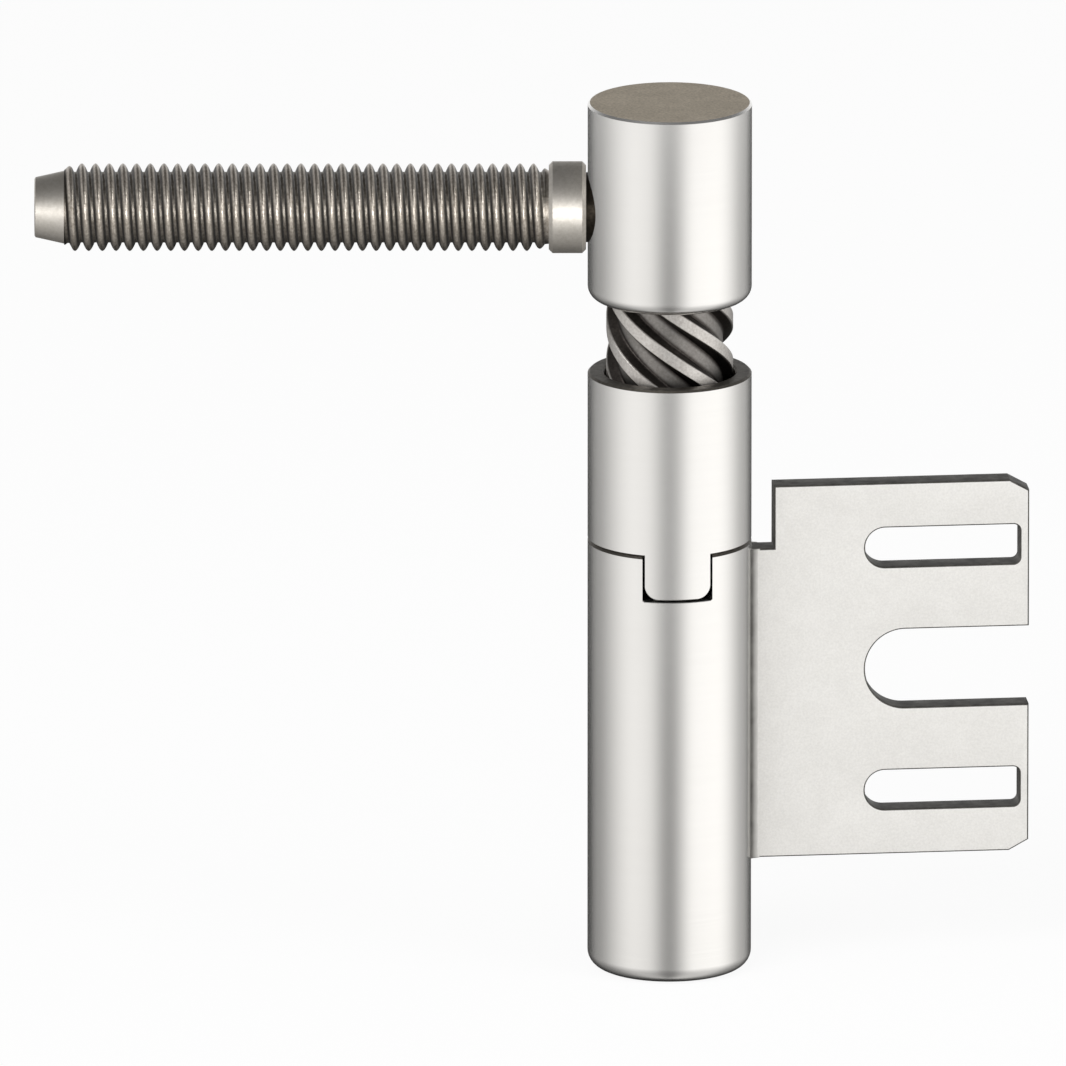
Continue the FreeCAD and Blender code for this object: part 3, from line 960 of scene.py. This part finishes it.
def makeFloor():
    # Pale floor that reads as white to the camera and still takes a soft shadow; the metal mirrors the card.
    half = floor["size"] / 2
    corners = [(-half, -half, 0), (half, -half, 0), (half, half, 0), (-half, half, 0)]
    mesh = bpy.data.meshes.new("floor")
    mesh.from_pydata(corners, [], [(0, 1, 2, 3)])
    obj = bpy.data.objects.new("floor", mesh)
    scene.collection.objects.link(obj)
    obj.location.z = cadLow[2] - floor["drop"] * mm
    material, tree, out = emptyMaterial("paleFloor")
    matt = addNode(tree, "ShaderNodeBsdfDiffuse")
    matt.inputs["Color"].default_value = (floor["tone"],) * 3 + (1,)
    glow = addNode(tree, "ShaderNodeEmission")
    path = addNode(tree, "ShaderNodeLightPath")
    seen = addNode(tree, "ShaderNodeMath", operation="MAXIMUM")
    amount = addNode(tree, "ShaderNodeMath", operation="MULTIPLY")
    amount.inputs[1].default_value = floor["glow"]
    mix = addNode(tree, "ShaderNodeMixShader")
    join = tree.links.new
    join(path.outputs["Is Camera Ray"], seen.inputs[0])
    join(path.outputs["Is Transmission Ray"], seen.inputs[1])
    join(seen.outputs[0], amount.inputs[0])
    join(amount.outputs[0], mix.inputs["Fac"])
    join(matt.outputs["BSDF"], mix.inputs[1])
    join(glow.outputs["Emission"], mix.inputs[2])
    join(mix.outputs["Shader"], out.inputs["Surface"])
    mesh.materials.append(material)
    obj.visible_glossy = False


# Grey card that only the metal mirrors
card = {
    "outer": 1.07,  # metres, as are drop and fade
    "drop": 0.15,
    "slices": 128,
    "tint": (1.0, 0.99, 0.975),
    "stops": [  # share of a turn, grey value; 0.5 faces the camera
        (0.0, 0.04), (0.08, 0.05), (0.16, 0.25), (0.36, 0.82), (0.41, 0.76),
        (0.5, 0.215), (0.6, 0.97), (0.7, 1.0), (0.85, 0.36), (0.94, 0.05),
    ],
    "fade": {"From Min": 0.1, "From Max": 0.45, "To Min": 0.65, "To Max": 1.24},
}


def makeCard():
    # Below the floor. Its value goes by angle about the hinge axis, so the barrel gets upright bands, and it
    # darkens towards its middle.
    turn = np.linspace(0, 2 * np.pi, card["slices"], endpoint=False)
    rings = np.array([0.0, card["outer"]])[:, None]
    points = np.stack([rings * np.cos(turn), rings * np.sin(turn), 0 * rings * turn], axis=-1) / mm
    obj = putGrid("reflectingCard", points, False, True)
    closeUp(obj)
    obj.location.z = cadLow[2] - card["drop"]
    material, tree, out = emptyMaterial("greyCard")
    glow = addNode(tree, "ShaderNodeEmission")
    where = addNode(tree, "ShaderNodeTexCoord")
    turned = addNode(tree, "ShaderNodeMapping")
    turned.inputs["Rotation"].default_value = (0, 0, math.radians(90 - lens["azimuth"]))
    radial = addNode(tree, "ShaderNodeTexGradient", gradient_type="RADIAL")
    ramp = addNode(tree, "ShaderNodeValToRGB")
    ramp.color_ramp.interpolation = "EASE"
    elements = ramp.color_ramp.elements
    elements.remove(elements[1])
    elements[0].position, value = card["stops"][0]
    elements[0].color = (value, value, value, 1)
    for position, value in card["stops"][1:]:
        elements.new(position).color = tuple(value * share for share in card["tint"]) + (1,)
    reach = addNode(tree, "ShaderNodeVectorMath", operation="LENGTH")
    fadeIn = addNode(tree, "ShaderNodeMapRange", interpolation_type="SMOOTHSTEP")
    for label, value in card["fade"].items():
        fadeIn.inputs[label].default_value = value
    join = tree.links.new
    join(where.outputs["Object"], turned.inputs["Vector"])
    join(turned.outputs["Vector"], radial.inputs["Vector"])
    join(radial.outputs["Fac"], ramp.inputs["Fac"])
    join(where.outputs["Object"], reach.inputs[0])
    join(reach.outputs["Value"], fadeIn.inputs["Value"])
    join(fadeIn.outputs["Result"], glow.inputs["Strength"])
    join(ramp.outputs["Color"], glow.inputs["Color"])
    join(glow.outputs["Emission"], out.inputs["Surface"])
    obj.data.materials.append(material)
    obj.visible_camera = False
    obj.visible_diffuse = False
    obj.visible_shadow = False
    obj.visible_transmission = False


# World
sky = {
    "shown": 1.0,
    "ambient": 0.55,
    "overhead": {"From Min": 0.02, "From Max": 0.65, "To Min": 1.0, "To Max": 0.16},
}


def makeWorld():
    # White to the camera, softer where it lights the part, and darker overhead where the metal mirrors it.
    world = bpy.data.worlds.new("studioWorld")
    scene.world = world
    world.use_nodes = True
    tree = world.node_tree
    tree.nodes.clear()
    out = addNode(tree, "ShaderNodeOutputWorld")
    shown = addNode(tree, "ShaderNodeBackground")
    shown.inputs["Strength"].default_value = sky["shown"]
    ambient = addNode(tree, "ShaderNodeBackground")
    ambient.inputs["Strength"].default_value = sky["ambient"]
    mirrored = addNode(tree, "ShaderNodeBackground")
    where = addNode(tree, "ShaderNodeTexCoord")
    split = addNode(tree, "ShaderNodeSeparateXYZ")
    overhead = addNode(tree, "ShaderNodeMapRange", interpolation_type="SMOOTHSTEP")
    for label, value in sky["overhead"].items():
        overhead.inputs[label].default_value = value
    path = addNode(tree, "ShaderNodeLightPath")
    seen = addNode(tree, "ShaderNodeMath", operation="MAXIMUM")
    mix = addNode(tree, "ShaderNodeMixShader")
    glossy = addNode(tree, "ShaderNodeMixShader")
    join = tree.links.new
    for shade in (shown, ambient, mirrored):
        shade.inputs["Color"].default_value = (1, 1, 1, 1)
    join(where.outputs["Generated"], split.inputs["Vector"])
    join(split.outputs["Z"], overhead.inputs["Value"])
    join(overhead.outputs["Result"], mirrored.inputs["Strength"])
    join(path.outputs["Is Camera Ray"], seen.inputs[0])
    join(path.outputs["Is Transmission Ray"], seen.inputs[1])
    join(seen.outputs[0], mix.inputs["Fac"])
    join(ambient.outputs[0], mix.inputs[1])
    join(shown.outputs[0], mix.inputs[2])
    join(path.outputs["Is Glossy Ray"], glossy.inputs["Fac"])
    join(mix.outputs[0], glossy.inputs[1])
    join(mirrored.outputs[0], glossy.inputs[2])
    join(glossy.outputs[0], out.inputs["Surface"])


# Lamps, in metres and watts
barrelMiddle = (0, 0, 0.045)
studMiddle = (-0.034, 0, 0.072)
lamps = {
    "keyBox": {"spot": (-0.55, -0.7, 0.8), "size": (0.7, 0.7), "power": 6.4, "aim": barrelMiddle},
    "fillBox": {"spot": (0.7, -0.5, 0.5), "size": (0.5, 0.5), "power": 2.8, "aim": barrelMiddle},
    "studBox": {"spot": (-0.13, -0.9, 0.06), "size": (0.8, 0.11), "power": 5.6, "aim": studMiddle},
}


def softbox(name):
    # Square-cornered area lamp that faces its aim.
    lamp = lamps[name]
    data = bpy.data.lights.new(name, "AREA")
    data.shape = "RECTANGLE"
    data.size, data.size_y = lamp["size"]
    data.energy = lamp["power"]
    obj = bpy.data.objects.new(name, data)
    scene.collection.objects.link(obj)
    obj.location = lamp["spot"]
    obj.rotation_mode = "QUATERNION"
    obj.rotation_quaternion = (Vector(lamp["aim"]) - Vector(lamp["spot"])).to_track_quat("-Z", "Y")
    return obj


def linkLamp(lamp, obj, state):
    # INCLUDE lights this object alone, EXCLUDE lights everything but it.
    reached = bpy.data.collections.new(lamp.name + "Reach")
    reached.objects.link(obj)
    reached.collection_objects[0].light_linking.link_state = state
    lamp.light_linking.receiver_collection = reached


makeFloor()
makeCard()
makeWorld()
linkLamp(softbox("keyBox"), studSkin, "EXCLUDE")
softbox("fillBox")
linkLamp(softbox("studBox"), studSkin, "INCLUDE")  # the stud is lit from low in front
print("studio made")
